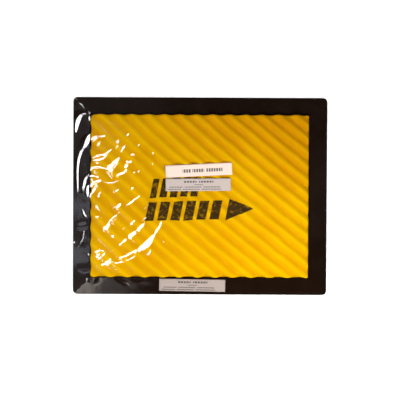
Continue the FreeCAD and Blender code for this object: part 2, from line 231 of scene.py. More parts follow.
FILM_OUT = 0.3 * MM  # clear of the rim's sides
FILM_OVER = 0.3 * MM  # clear of the rim's top
FILM_CLEAR = 0.1 * MM  # the least distance over the foam
BEVEL = 0.8 * MM  # where the film turns round the rim's top edge
FILM_CORNER = 4 * MM
SHOULDER_X, SHOULDER_Y = RIM_X + FILM_OUT - BEVEL, RIM_Y + FILM_OUT - BEVEL
SHOULDER_Z = RIM_TOP + FILM_OVER
TENT_OUT = 1.4 * MM  # the film leaves the crests this far past the foam's edge
TENT_X, TENT_Y = FOAM_X + TENT_OUT, FOAM_Y + TENT_OUT
FILM_TOP = film_high[2] - 0.1 * MM  # over the crests, before the wrinkles
MITRE_POWER = 60  # the higher, the sharper the tent's corners

# Folds that the light catches, in millimetres: their points, with the light on the left of the way they
# run, and the widths of the lit flank at the start, the middle and the end.
FOAM_FOLDS = (
    # upper left of the foam
    (((-127.5, 66), (-124, 68), (-121.5, 71)), 2.5, 4.5, 1.5),
    (((-121, 70), (-116, 70), (-111, 71.5)), 0.8, 0.8, 0.4),
    (((-121, 59.5), (-118, 63.5)), 2.0, 2.8, 2.0),
    (((-98, 62.5), (-95.5, 65)), 1.5, 2.2, 1.5),
    (((-100, 57), (-96, 59)), 0.6, 0.9, 0.6),
    (((-93, 52), (-91, 56), (-88.5, 59.5)), 1.3, 1.6, 1.0),
    (((-86.5, 70.5), (-84, 73)), 1.0, 1.5, 0.8),
    (((-127, 41.5), (-120, 42.5), (-114, 44.5), (-111, 48), (-109.5, 51), (-104.5, 54.5)),
     1.6, 1.9, 1.3),
    (((-127, 44), (-121, 47), (-114, 48.5), (-110, 49.5)), 0.9, 1.1, 0.8),
    (((-103.5, 20), (-106, 26), (-106, 32), (-101.5, 38), (-95, 45.5)), 1.5, 7.5, 2.5),
    (((-104, 31), (-100, 36), (-94, 42)), 1.0, 2.2, 1.5),
    (((-134, 22), (-131.5, 27), (-128, 32), (-123, 33.6), (-116, 33.4), (-110, 31), (-107, 27)),
     1.3, 1.7, 2.0),
    (((-89, 33.5), (-86, 36), (-83, 35)), 2.5, 4.0, 2.0),
    (((-86, 42), (-83.5, 39.5), (-80, 41.5)), 1.2, 2.0, 1.2),
    (((-98.5, 24), (-93, 26), (-88, 28.5)), 1.5, 2.4, 1.5),
    (((-89, 29.5), (-85.5, 31.5)), 1.2, 2.4, 1.5),
    (((-81, 48), (-78.5, 48.6), (-76, 47.5)), 1.0, 1.8, 1.0),
    (((-73.5, 59), (-71, 61)), 0.8, 1.4, 0.8),
    (((-79, 27), (-77, 28)), 0.8, 1.3, 0.8),
    (((-73, 27), (-71.5, 31)), 0.6, 1.2, 0.6),
    (((-57.5, 36.5), (-55, 39)), 0.6, 1.1, 0.6),
    (((-57, 49), (-54.5, 51.5)), 0.6, 1.1, 0.6),
    # left edge of the foam
    (((-132.5, 22), (-127, 24), (-121, 22), (-115, 17.5), (-110, 15.5), (-102, 16), (-94.5, 19)),
     2.4, 1.8, 0.6),
    (((-130, 10.5), (-126, 14.5), (-120, 17.5), (-115, 16.5)), 2.0, 3.0, 2.0),
    (((-127, 3), (-124, 9), (-120, 13), (-114, 15)), 2.2, 2.6, 1.2),
    (((-130, -2), (-128, 3)), 1.2, 2.4, 1.2),
    (((-120, -2), (-117.5, 3.5)), 1.0, 2.4, 1.2),
    (((-99, 5.5), (-96, 8)), 1.0, 1.6, 0.8),
    (((-81.5, 7.5), (-78.5, 10)), 0.8, 1.5, 0.8),
    # lower left of the foam
    (((-98, -15), (-96, -12), (-93.5, -9)), 1.5, 3.0, 2.0),
    (((-88, -12), (-80.5, -7), (-75.5, -3), (-70, 1)), 1.6, 1.9, 0.8),
    (((-70, -18), (-64, -14), (-59, -9)), 0.5, 0.7, 0.5),
    (((-113.6, -41), (-110, -37), (-106.5, -32)), 1.7, 4.6, 2.5),
    (((-107.5, -31.5), (-103.5, -26.5), (-97.5, -22.5)), 1.2, 1.4, 1.0),
    (((-105, -32), (-100.5, -28.5), (-96.5, -23.5)), 1.2, 1.4, 1.0),
    (((-68, -28), (-62, -25)), 1.0, 1.6, 0.8),
    (((-81.5, -33.5), (-76.5, -29)), 1.2, 2.0, 1.2),
    (((-90.5, -39), (-88.5, -37)), 0.6, 1.2, 0.6),
    (((-104.5, -47.5), (-99, -45.5)), 0.4, 0.7, 0.4),
    (((-123, -25), (-119, -24.5), (-115, -26)), 0.6, 0.9, 0.6),
    # the long curl: two prongs, a faint band, then a thin line that grows into a broad one
    (((-124, -66), (-118, -64.6), (-111, -65)), 1.4, 2.6, 1.2),
    (((-124, -71), (-116, -70.5), (-111, -67)), 1.0, 2.8, 1.4),
    (((-110, -65), (-105, -67), (-100, -70.5), (-95, -72.6)), 1.5, 1.0, 1.2),
    (((-96, -72.8), (-90, -71.8), (-84, -68.8), (-78, -65.6), (-73, -63)), 1.3, 2.0, 2.4),
    (((-77, -68), (-71, -63.5), (-65, -59), (-60, -54.5), (-56.5, -49.5), (-53.5, -45)), 3.0, 7.5, 3.0),
    (((-53, -44), (-49.5, -39), (-46.5, -34), (-45.5, -29)), 2.6, 3.2, 1.2),
    (((-117, -82), (-111, -80), (-105, -78), (-101, -78)), 1.0, 4.4, 1.6),
    (((-106.5, -77), (-104.5, -73.5)), 1.5, 1.5, 0.8),
    (((-104, -78.4), (-97, -79), (-90, -77.4), (-84, -75), (-78, -72), (-73, -68)), 1.8, 1.7, 1.7),
    (((-63, -70), (-59.5, -67), (-57, -62), (-56.3, -59)), 0.8, 1.2, 0.8),
    (((-42.5, -56), (-42, -51.5)), 0.6, 1.3, 0.6),
)
# A fold that the valleys between the ribs break up.
RIB_FOLDS = (
    (((-96, -58.5), (-85, -50), (-74, -41), (-64, -31)), 1.8, 4.0, 3.2),
)
# Where the film comes down over the left border it is too steep to catch the light. Here it eases
# off along these lines, which run with the light on their right.
BORDER_FOLDS = (
    (((-135, 96), (-140, 94.5), (-144, 89), (-146, 82), (-147.6, 74)), 2.0, 4.8, 2.4),
    (((-130.6, 94), (-131, 88)), 1.0, 1.6, 1.0),
    (((-129.5, 73), (-132.5, 65.5), (-135.5, 59), (-140, 52), (-143.2, 43), (-144.6, 33), (-144.8, 23.5),
      (-144.4, 13), (-144.4, 4)), 6.0, 2.2, 1.8),
    (((-131.9, 26), (-133.8, 21.5), (-136, 16), (-137.4, 8), (-137.5, 2)), 1.8, 3.4, 2.0),
    (((-132, 13), (-132.6, 6), (-132.8, -2)), 2.0, 2.8, 1.6),
    (((-138.8, -16), (-136.8, -21), (-133.9, -24.5), (-131, -26)), 0.8, 1.2, 0.6),
    (((-136.3, -41.5), (-137.3, -47.7), (-139.8, -53.6), (-143.7, -59.5), (-145.4, -61.5)),
     1.2, 0.8, 1.0),
    (((-148.4, -53.5), (-148.8, -57.5)), 1.0, 2.0, 1.0),
    (((-131.2, -68.5), (-131.6, -71)), 0.8, 1.4, 0.8),
)
LIT_SLOPE = 0.2  # a flank on the foam that is this steep throws the key light straight up
EASE_SLOPE = 0.15  # how much a fold on the border takes off the film's fall there
ROUNDED_OFF = 0.5 * MM  # the mesh rounds a flank's edges, so narrow flanks are made steeper
# How far a fold takes to die away behind its flank, in flank widths: on the foam and on the border
# at the most, and for a short fold at the least. Near a fold's ends it takes less.
FALL_BACK = 5
EASE_BACK = 2.4
SHORT_BACK = 1.2
BACK_LOST_AT_ENDS = 0.75
FARTHEST = 16 * MM

# Puckers where the film sinks, in millimetres: centre, half length, half width, turn, depth.
PUCKERS = (
    (-130, -99.5, 3.0, 1.8, -20, 0.9),
    (-90, -102, 9.0, 2.6, -28, 0.7),
    (-69, -101.5, 9.0, 2.4, -12, 0.35),
    (-135, -86, 7.0, 3.0, 5, 0.35),
    (-139, -36, 8.0, 4.0, 10, 0.35),
    (-121, -101, 4.0, 2.0, 35, 0.5),
)


def spline(points, per_span=8):
    """A Catmull-Rom curve through a few points."""
    p = np.array(points, float)
    p = np.vstack([2 * p[0] - p[1], p, 2 * p[-1] - p[-2]])
    t = np.linspace(0, 1, per_span, endpoint=False)[:, None]
    spans = []
    for a, b, c, d in zip(p[:-3], p[1:-2], p[2:-1], p[3:]):
        spans.append(
            b + 0.5 * t * (c - a + t * (2 * a - 5 * b + 4 * c - d + t * (3 * (b - c) + d - a)))
        )
    return np.vstack([*spans, p[-2:-1]])


def nearest_on(line, x, y):
    """For each point: how far it is from the line, how far it lies to the line's right, and the
    share of the line's run at the nearest place."""
    near = np.full(x.shape, 1e9)
    right = np.zeros(x.shape)
    share = np.zeros(x.shape)
    count = len(line) - 1
    for number, (start, end) in enumerate(zip(line[:-1], line[1:])):
        run = end - start
        long = np.hypot(*run)
        t = np.clip(((x - start[0]) * run[0] + (y - start[1]) * run[1]) / long**2, 0, 1)
        dx, dy = x - start[0] - t * run[0], y - start[1] - t * run[1]
        distance = np.hypot(dx, dy)
        closer = distance < near
        near = np.where(closer, distance, near)
        right = np.where(closer, np.sign(dx * run[1] - dy * run[0]) * distance, right)
        share = np.where(closer, (number + t) / count, share)
    return near, right, share


def fold_height(x, y, slope, most_back, points, start_width, middle_width, end_width):
    """A fold: an even flank that climbs away from the light, and a slow fall behind it."""
    line = spline(points) * MM
    widest = max(start_width, middle_width, end_width) * MM
    widths_long = np.hypot(*(line[-1] - line[0])) / widest
    fall_back = min(most_back, max(SHORT_BACK, 0.5 * widths_long))
    reach = 0.5 * widest + min(fall_back * widest, FARTHEST)
    low, high = line.min(0) - reach, line.max(0) + reach
    here = (x > low[0]) & (x < high[0]) & (y > low[1]) & (y < high[1])
    near, behind, share = nearest_on(line, x[here], y[here])
    from_middle = 2 * share - 1
    width = np.interp(share, (0, 0.5, 1), (start_width, middle_width, end_width)) * MM
    width = width * np.sqrt(np.clip(1 - from_middle**6, 0, 1)) + 1e-6
    fall = np.minimum(fall_back, FARTHEST / width) * (1 - BACK_LOST_AT_ENDS * from_middle**2)
    d = behind / width
    rise = np.clip(d + 0.5, 0, 1) * (1 - smooth(d, 0.5, 0.5 + fall))
    past_end = (share <= 0) | (share >= 1)
    dies_away = 1 - smooth(near / width, 1.0, 3.0) * past_end
    height = np.zeros(x.shape)
    height[here] = slope * (width + ROUNDED_OFF) * rise * dies_away
    return height


def pucker_depth(x, y, centre_x, centre_y, half_long, half_wide, turn, depth):
    cos, sin = math.cos(math.radians(turn)), math.sin(math.radians(turn))
    dx, dy = x - centre_x * MM, y - centre_y * MM
    along = (dx * cos + dy * sin) / (half_long * MM)
    across = (dy * cos - dx * sin) / (half_wide * MM)
    return depth * MM * np.exp(-(along**2 + across**2))


# How the film lies. It is drawn tight on the right and lies loose on the left.
LOOSE_FROM, LOOSE_TO = -30 * MM, -105 * MM
SAG_TIGHT, SAG_LOOSE = 0.05 * MM, 0.35 * MM  # how far it sinks between the crests
SAG_EASE = 9 * MM  # it doesn't sink at the foam's edges
CALM_FROM, CALM_TO = 60 * MM, 85 * MM  # its top left part has fewer creases
SWELLING = 0.18 * MM
FRETTING = 0.03 * MM
STREAKS = 0.022 * MM
STREAK_WAY = (0.77, 0.64)
ROLLING = 0.07 * MM


def film_unevenness(x, y, out_x, on_foam):
    """The small unevenness of the loose film: broad swells, fine fretting and streaks over the
    foam, and a roll on the left border."""
    loose = 1 - smooth(x + 0.15 * y, LOOSE_TO, LOOSE_FROM)
    creased = 1 - smooth(y, CALM_FROM, CALM_TO)
    in_from_ends = smooth(TENT_Y - abs(y), 0, 14 * MM) * smooth(TENT_X + x, 0, 12 * MM)
    swells = SWELLING * loose * in_from_ends * creased * (1 + waves(x, y, 24, 60 * MM, 18 * MM, 11))
    fretted = loose * on_foam * creased
    frets = FRETTING * fretted * waves(x, y, 40, 11 * MM, 4 * MM, 29)
    long_x, long_y = STREAK_WAY
    along, across = x * long_x + y * long_y, y * long_x - x * long_y
    streaks = STREAKS * fretted * waves(along / 5, across, 30, 6 * MM, 3 * MM, 37)
    on_border = smooth(out_x, 0, 0.3) * (1 - smooth(out_x, 0.7, 1)) * (x < 0)
    roll = ROLLING * on_border * waves(x, y, 20, 40 * MM, 14 * MM, 31)
    return swells + frets + roll + streaks


def film_height(x, y):
    """The wrap's top: over the crests, then down to the rim's shoulder, with its wrinkles."""
    out_x = np.clip((abs(x) - TENT_X) / (SHOULDER_X - TENT_X), 0, 1)
    out_y = np.clip((abs(y) - TENT_Y) / (SHOULDER_Y - TENT_Y), 0, 1)
    out = np.clip((out_x**MITRE_POWER + out_y**MITRE_POWER) ** (1 / MITRE_POWER), 0, 1)
    on_foam = 1 - smooth(out, 0, 0.15)
    z = SHOULDER_Z + (FILM_TOP - SHOULDER_Z) * (1 - out)
    loose = 1 - smooth(x + 0.15 * y, LOOSE_TO, LOOSE_FROM)
    valley = rib_sink(x, y) / RIB_DEPTH
    inside = smooth(np.minimum(TENT_X - abs(x), TENT_Y - abs(y)), 0, SAG_EASE)
    z = z - (SAG_TIGHT + (SAG_LOOSE - SAG_TIGHT) * loose) * valley * inside
    z = z + film_unevenness(x, y, out_x, on_foam)
    for fold in FOAM_FOLDS:
        z = z + fold_height(x, y, LIT_SLOPE, FALL_BACK, *fold)
    broken_up = 1 - 0.4 * smooth(valley, 0.5, 1.0)
    for fold in RIB_FOLDS:
        z = z + fold_height(x, y, LIT_SLOPE, FALL_BACK, *fold) * broken_up
    for fold in BORDER_FOLDS:
        z = z + fold_height(x, y, EASE_SLOPE, EASE_BACK, *fold)
    for pucker in PUCKERS:
        z = z - pucker_depth(x, y, *pucker)
    foam = CREST - rib_sink(x, y) + FILM_CLEAR
    return np.where(on_foam > 0.999, np.maximum(z, foam), z)


TOP_STEP = 0.6 * MM
CORNER_RINGS = 4
BEVEL_RINGS = 3
WALL_STEPS = 6
CRUMPLE = 0.2 * MM


def make_top_film():
    """The lid half: over the foam, down over the rim, and down its sides to the weld."""
    flat_x, flat_y = SHOULDER_X - FILM_CORNER, SHOULDER_Y - FILM_CORNER
    rings = CORNER_RINGS + BEVEL_RINGS + WALL_STEPS

    def shape(x, y, out_x, out_y, ring):
        on_top = FILM_CORNER * np.clip(ring / CORNER_RINGS, 0, 1)
        turn = np.clip((ring - CORNER_RINGS) / BEVEL_RINGS, 0, 1) * math.pi / 2
        down = np.clip((ring - CORNER_RINGS - BEVEL_RINGS) / WALL_STEPS, 0, 1)
        out = on_top + BEVEL * np.sin(turn)
        px, py = x + out_x * out, y + out_y * out
        top = film_height(x + out_x * on_top, y + out_y * on_top)
        edge = top - BEVEL * (1 - np.cos(turn))
        z = edge + down * (WELD - edge)
        on_wall = smooth(down, 0.1, 0.5) * (1 - smooth(down, 0.8, 1))
        # Held at -1, so that the film never goes inside the rim.
        crumple = CRUMPLE * on_wall * np.maximum(waves(px + z, py - z, 20, 40 * MM, 10 * MM, 17), -1)
        return px + out_x * crumple, py + out_y * crumple, z

    bends = (TENT_X, TENT_Y)
    return shell("wrap_film_top", flat_x, flat_y, TOP_STEP, rings, shape, False, bends)


def make_bottom_film():
    """The tray half, from the weld down and under."""
    reach_x, reach_y = tray_high[0] - 0.05 * MM, tray_high[1] - 0.05 * MM
    flat_x, flat_y = reach_x - FILM_CORNER, reach_y - FILM_CORNER
    soft = 1.5 * MM
    base = 0.05 * MM
    wrinkles = 0.08 * MM
    round_rings, wall_rings = 4, 5

    def shape(x, y, out_x, out_y, ring):
        turn = np.clip(ring / round_rings, 0, 1) * math.pi / 2
        up = np.clip((ring - round_rings) / wall_rings, 0, 1)
        edge = (FILM_CORNER - soft) * np.clip(ring, 0, 1) + soft * np.sin(turn)
        px, py = x + out_x * edge, y + out_y * edge
        wrinkle = wrinkles * (1 + np.clip(waves(px, py, 24, 50 * MM, 12 * MM, 23), -1, 2))
        z = base + wrinkle * (ring < round_rings) + soft * (1 - np.cos(turn))
        z = z + up * (WELD - z)
        return px, py, z

    rings = round_rings + wall_rings
    return shell("wrap_film_bottom", flat_x, flat_y, 3 * MM, rings, shape, closed=False)


top_film = make_top_film()
bottom_film = make_bottom_film()

# ---------------------------------------------------------------- labels

LABEL_GAUGE = 0.12 * MM
LABEL_COLUMNS, LABEL_ROWS = 60, 12


def label_place(node_name):
    """Where a label's CAD node lies: its centre, its points in plan from there, and its turn."""
    mesh = nodes[node_name].data
    points = np.array([v.co[:] for v in mesh.vertices])
    centre = (points.min(0) + points.max(0)) / 2
    flat = points[:, :2] - centre[:2]
    _, vectors = np.linalg.eigh(flat.T @ flat)
    along = vectors[:, 1] * np.sign(vectors[0, 1])
    return centre, flat, math.atan2(along[1], along[0])


def make_label(node_name, name, lift, nudge=(0, 0), twist=0, trim=1):
    """A paper label where its CAD node lies. lift(x, y, u, v) gives its height, so it follows what
    is under it. nudge is in millimetres, twist is in degrees, and trim is a share of its length."""
    centre, flat, turn = label_place(node_name)
    turn += math.radians(twist)
    cos, sin = math.cos(turn), math.sin(turn)
    half_x = (flat[:, 0] * cos + flat[:, 1] * sin).max() * trim
    half_y = (flat[:, 1] * cos - flat[:, 0] * sin).max()
    centre_x, centre_y = centre[0] + nudge[0] * MM, centre[1] + nudge[1] * MM

    u = np.linspace(-half_x, half_x, LABEL_COLUMNS + 1)
    v = np.linspace(-half_y, half_y, LABEL_ROWS + 1)
    u, v = np.meshgrid(u, v, indexing="ij")
    x = centre_x + u * cos - v * sin
    y = centre_y + u * sin + v * cos
    z = lift(x, y, u / half_x, v / half_y)
    index = np.arange(u.size).reshape(u.shape)
    quads = np.stack([index[:-1, :-1], index[1:, :-1], index[1:, 1:], index[:-1, 1:]], -1)
    points = np.stack([x, y, z], -1).reshape(-1, 3)
    mesh = bpy.data.meshes.new(name)
    mesh.from_pydata(points.tolist(), [], quads.reshape(-1, 4).tolist())
    mesh.polygons.foreach_set("use_smooth", [True] * len(mesh.polygons))
    uv = mesh.uv_layers.new(name="label")  # in millimetres from the label's centre
    grid_uv = np.stack([u / MM, v / MM], -1).reshape(-1, 2)
    loops = np.array([loop.vertex_index for loop in mesh.loops])
    uv.data.foreach_set("uv", grid_uv[loops].ravel())
    piece = bpy.data.objects.new(name, mesh)
    bpy.context.scene.collection.objects.link(piece)
    paper = piece.modifiers.new("paper", "SOLIDIFY")
    paper.thickness = LABEL_GAUGE
    paper.offset = -1
    return piece


LABEL_LIFT = 0.16 * MM


def on_wrap(x, y, u, v):
    """Nearly flat on the film, with its ends a little up."""
    return FILM_TOP + LABEL_LIFT + 0.12 * MM * u * u + 0.05 * MM * np.sin(5 * u + 1)


def on_rim(x, y, u, v):
    """Flat on the rim, with its right end up, and bent down where the rim's edge is rounded."""
    past_flat = np.clip(-(y + RIM_Y - 2.2 * MM), 0, 1)
    end_up = 0.25 * MM * (u * u) * smooth(u, 0.4, 1.0)
    return RIM_TOP + LABEL_LIFT + end_up - 0.5 * past_flat**2 / (1.6 * MM)


notice = make_label(
    "notice_label", "notice_paper_label", on_wrap, nudge=(-0.8, 1.4), twist=0.3, trim=0.985
)
wrap_stock = make_label(
    "wrap_stock_label", "wrap_stock_paper_label", on_wrap, nudge=(-0.7, 1.3), twist=0.3, trim=0.982
)
rim_stock = make_label("rim_stock_label", "rim_stock_paper_label", on_rim)


# ---------------------------------------------------------------- materials

def material(name):
    mat = bpy.data.materials.new(name)
    mat.use_nodes = True
    mat.node_tree.nodes.clear()
    return mat


def node(tree, kind, inputs=None, **settings):
    """A new shader node. inputs are values, or sockets to link, by the input's name or index."""
    made = tree.nodes.new(kind)
    for key, value in settings.items():
        setattr(made, key, value)
    for key, value in (inputs or {}).items():
        if isinstance(value, bpy.types.NodeSocket):
            tree.links.new(value, made.inputs[key])
        else:
            made.inputs[key].default_value = value
    return made


def math_node(tree, operation, a, b=0.0, c=0.0):
    return node(tree, "ShaderNodeMath", {0: a, 1: b, 2: c}, operation=operation).outputs[0]


def mix_colour(tree, share, a, b):
    made = node(tree, "ShaderNodeMix", data_type="RGBA")
    for index, value in ((0, share), (6, a), (7, b)):
        if isinstance(value, bpy.types.NodeSocket):
            tree.links.new(value, made.inputs[index])
        else:
            made.inputs[index].default_value = value
    return made.outputs[2]


def noise_node(tree, vector, scale, detail=3.0, rough=0.5):
    inputs = {"Vector": vector, "Scale": scale, "Detail": detail, "Roughness": rough}
    return node(tree, "ShaderNodeTexNoise", inputs).outputs[0]


def ramp(tree, value, low, high):
    """0 below low, 1 above high, and a smooth climb between them."""
    inputs = {0: value, 1: low, 2: high, 3: 0.0, 4: 1.0}
    made = node(tree, "ShaderNodeMapRange", inputs, interpolation_type="SMOOTHSTEP")
    return made.outputs[0]


def finish_material(mat, shader):
    """Links the shader to a material output, and gives the material back."""
    tree = mat.node_tree
    out = tree.nodes.new("ShaderNodeOutputMaterial")
    tree.links.new(shader, out.inputs["Surface"])
    return mat


MATT = 0.01  # the specular level of the foam and the rim
BLACK_INK = (0.03, 0.016, 0.008, 1)
PRINT_INK = (0.03, 0.025, 0.025, 1)


def foam_material(name, crest, shade, pores, ink=None):
    """Open-cell foam: a fine net of pores with painted shade in them, partly oil and partly painted
    shade in the valleys, painted shade towards the top right, oil that darkens it unevenly, and ink on
    top."""
    mat = material(name)
    tree = mat.node_tree
    where = node(tree, "ShaderNodeTexCoord").outputs["Object"]
    cells = node(tree, "ShaderNodeTexVoronoi", {"Vector": where, "Scale": pores}).outputs["Distance"]
    holes = ramp(tree, cells, 0.1, 0.55)
    cloudy = noise_node(tree, where, 22.0, 4.0)
    part = node(tree, "ShaderNodeSeparateXYZ", {0: where})
    x, y, z = part.outputs
    # Darker in the valleys: partly oil, partly painted shade that stands in for the ribs' own shading.
    sunk = node(tree, "ShaderNodeMapRange", {0: z, 1: CREST, 2: CREST - RIB_DEPTH}).outputs[0]
    # Painted shade: the foam is darker towards the top right, as if the lamps lit it less there.
    far_end = math_node(tree, "MULTIPLY_ADD", x, 0.5, y)
    painted_falloff_shade = math_node(tree, "MULTIPLY", ramp(tree, far_end, 0.04, 0.16), 0.8)
    oil_and_painted_shade = math_node(tree, "MULTIPLY_ADD", sunk, 0.6, painted_falloff_shade)
    oil_and_painted_shade = math_node(tree, "MULTIPLY_ADD", ramp(tree, cloudy, 0.35, 0.7), 0.25, oil_and_painted_shade)
    colour = mix_colour(tree, oil_and_painted_shade, crest, shade)
    pitted = node(tree, "ShaderNodeMix", data_type="RGBA", blend_type="MULTIPLY")
    tree.links.new(colour, pitted.inputs[6])
    # Painted shade in the pores: the cells' centres are darker.
    tint = mix_colour(tree, holes, (0.94, 0.90, 0.8, 1), (1, 1, 1, 1))
    tree.links.new(tint, pitted.inputs[7])
    pitted.inputs[0].default_value = 1.0
    colour = pitted.outputs[2]
    if ink is not None:
        colour = ink(tree, where, colour)
    relief = node(tree, "ShaderNodeBump", {"Height": holes, "Strength": 0.2, "Distance": 0.0005})
    shader = node(
        tree,
        "ShaderNodeBsdfPrincipled",
        {"Base Color": colour, "Roughness": 0.9, "Normal": relief.outputs[0]},
    )
    shader.inputs["Specular IOR Level"].default_value = MATT
    return finish_material(mat, shader.outputs[0])


def rim_material():
    """Self-skinned black polyurethane: a fine orange peel, and a little dust and wear."""
    mat = material("black_polyurethane")
    tree = mat.node_tree
    where = node(tree, "ShaderNodeTexCoord").outputs["Object"]
    peel = noise_node(tree, where, 900.0, 2.0)
    dust = ramp(tree, noise_node(tree, where, 35.0, 5.0, 0.6), 0.45, 0.8)
    colour = mix_colour(tree, dust, (0.010, 0.0042, 0.0020, 1), (0.016, 0.008, 0.005, 1))
    rough = node(tree, "ShaderNodeMapRange", {0: dust, 3: 0.42, 4: 0.58}).outputs[0]
    relief = node(tree, "ShaderNodeBump", {"Height": peel, "Strength": 0.12, "Distance": 0.0002})
    shader = node(
        tree,
        "ShaderNodeBsdfPrincipled",
        {"Base Color": colour, "Roughness": rough, "Normal": relief.outputs[0]},
    )
    shader.inputs["Specular IOR Level"].default_value = MATT
    return finish_material(mat, shader.outputs[0])


def film_material():
    """Clear film: it shows what is under it and mirrors a little of what is round it."""
    mat = material("clear_film")
    tree = mat.node_tree
    where = node(tree, "ShaderNodeTexCoord").outputs["Object"]
    rub = ramp(tree, noise_node(tree, where, 60.0, 4.0), 0.4, 0.75)
    rough = node(tree, "ShaderNodeMapRange", {0: rub, 3: 0.11, 4: 0.17}).outputs[0]
    ripple = noise_node(tree, where, 140.0, 2.0)
    relief = node(tree, "ShaderNodeBump", {"Height": ripple, "Strength": 0.1, "Distance": 0.0006})
    sharp = node(tree, "ShaderNodeBsdfGlossy", {"Roughness": rough, "Normal": relief.outputs[0]})
    broad = node(tree, "ShaderNodeBsdfGlossy", {"Roughness": 0.20, "Normal": relief.outputs[0]})
    for gloss in (sharp, broad):
        gloss.distribution = "BECKMANN"
        gloss.inputs["Color"].default_value = (1, 1, 1, 1)
    mirror = node(tree, "ShaderNodeMixShader", {0: 0.3, 1: sharp.outputs[0], 2: broad.outputs[0]})
    clear = node(tree, "ShaderNodeBsdfTransparent", {"Color": (0.985, 0.985, 0.985, 1)})
    weight = node(tree, "ShaderNodeLayerWeight", {"Blend": 0.5, "Normal": relief.outputs[0]})
    glancing = math_node(tree, "POWER", weight.outputs["Facing"], 5.0)
    share = math_node(tree, "MULTIPLY_ADD", glancing, 0.92, 0.08)
    mix = node(tree, "ShaderNodeMixShader")
    tree.links.new(share, mix.inputs[0])
    tree.links.new(clear.outputs[0], mix.inputs[1])
    tree.links.new(mirror.outputs[0], mix.inputs[2])
    return finish_material(mat, mix.outputs[0])


def steel_material():
    """Zinc-plated wire with dull spots."""
    mat = material("zinc_wire")
    tree = mat.node_tree
    where = node(tree, "ShaderNodeTexCoord").outputs["Object"]
    spots = ramp(tree, noise_node(tree, where, 300.0, 4.0), 0.4, 0.7)
    colour = mix_colour(tree, spots, (0.55, 0.56, 0.57, 1), (0.36, 0.37, 0.38, 1))
    rough = node(tree, "ShaderNodeMapRange", {0: spots, 3: 0.28, 4: 0.5}).outputs[0]
    shader = node(tree, "ShaderNodeBsdfPrincipled", {"Base Color": colour, "Roughness": rough})
    shader.inputs["Metallic"].default_value = 1.0
    return finish_material(mat, shader.outputs[0])


def both(tree, a, b):
    return math_node(tree, "MULTIPLY", a, b)


def within(tree, value, low, high):
    above = math_node(tree, "GREATER_THAN", value, low)
    return both(tree, above, math_node(tree, "LESS_THAN", value, high))


def paper_material(name, paper, bars):
    """Label paper with generic printed bars in place of words. bars are (low x, low y, high x,
    high y), in millimetres from the label's centre, and dashes per millimetre."""
    mat = material(name)
    tree = mat.node_tree
    uv = node(tree, "ShaderNodeUVMap", uv_map="label").outputs[0]
    u, v, _ = node(tree, "ShaderNodeSeparateXYZ", {0: uv}).outputs
    printed = 0.0
    for low_u, low_v, high_u, high_v, dashes in bars:
        inside = both(tree, within(tree, u, low_u, high_u), within(tree, v, low_v, high_v))
        dash = math_node(tree, "FRACT", math_node(tree, "MULTIPLY", u, dashes))
        inside = both(tree, inside, math_node(tree, "LESS_THAN", dash, 0.72))
        printed = math_node(tree, "MAXIMUM", printed, inside)
    where = node(tree, "ShaderNodeTexCoord").outputs["Object"]
    fibre = noise_node(tree, where, 900.0, 3.0)
    darker = tuple(0.93 * c for c in paper[:3]) + (1,)
    tone = mix_colour(tree, ramp(tree, fibre, 0.35, 0.65), paper, darker)
    colour = mix_colour(tree, math_node(tree, "MULTIPLY", printed, 0.9), tone, PRINT_INK)
    relief = node(tree, "ShaderNodeBump", {"Height": fibre, "Strength": 0.08, "Distance": 0.0001})
    shader = node(
        tree,
        "ShaderNodeBsdfPrincipled",
        {"Base Color": colour, "Roughness": 0.6, "Normal": relief.outputs[0]},
    )
    return finish_material(mat, shader.outputs[0])


MARK_LEFT = -60 * MM  # the mark is drawn from here to the right
MARK_RISE = 0.032  # it climbs a little to the right
MARK_LEAN = 0.2


def ink_graphic(tree, where, colour):
    """A generic airflow mark in dark ink: slanted bars over a long arrow."""
    part = node(tree, "ShaderNodeSeparateXYZ", {0: where})
    x = math_node(tree, "ADD", part.outputs[0], -MARK_LEFT)
    wobble = math_node(tree, "SUBTRACT", noise_node(tree, where, 60.0), 0.5)
    y = math_node(tree, "MULTIPLY_ADD", wobble, 4 * MM, part.outputs[1])
    y = math_node(tree, "MULTIPLY_ADD", x, -MARK_RISE, y)
    lean = math_node(tree, "MULTIPLY_ADD", y, -MARK_LEAN, x)

    def bars(low, high, end, pitch, share):
        """A row of bars between two heights, in millimetres."""
        row = both(tree, within(tree, y, low * MM, high * MM), within(tree, lean, 1 * MM, end * MM))
        slot = math_node(tree, "FRACT", math_node(tree, "MULTIPLY", lean, 1 / (pitch * MM)))
        return both(tree, row, math_node(tree, "LESS_THAN", slot, share))

    upper = bars(-2, 20.6, 61, 12.2, 0.70)
    lower = bars(-29.8, -7, 91, 15.4, 0.72)
    from_tip = math_node(tree, "SUBTRACT", 127 * MM, lean)
    half_wide = math_node(tree, "MULTIPLY", from_tip, 0.42)
    off_centre = math_node(tree, "ABSOLUTE", math_node(tree, "ADD", y, 18.4 * MM))
    head = math_node(tree, "LESS_THAN", off_centre, half_wide)
    head = both(tree, head, math_node(tree, "GREATER_THAN", lean, 96 * MM))
    mark = math_node(tree, "MAXIMUM", math_node(tree, "MAXIMUM", upper, lower), head)
    worn = ramp(tree, noise_node(tree, where, 260.0, 4.0), 0.3, 0.5)
    mark = both(tree, mark, math_node(tree, "MULTIPLY_ADD", worn, 0.25, 0.72))
    return mix_colour(tree, mark, colour, BLACK_INK)


def set_materials(obj, mat):
    obj.data.materials.clear()
    obj.data.materials.append(mat)
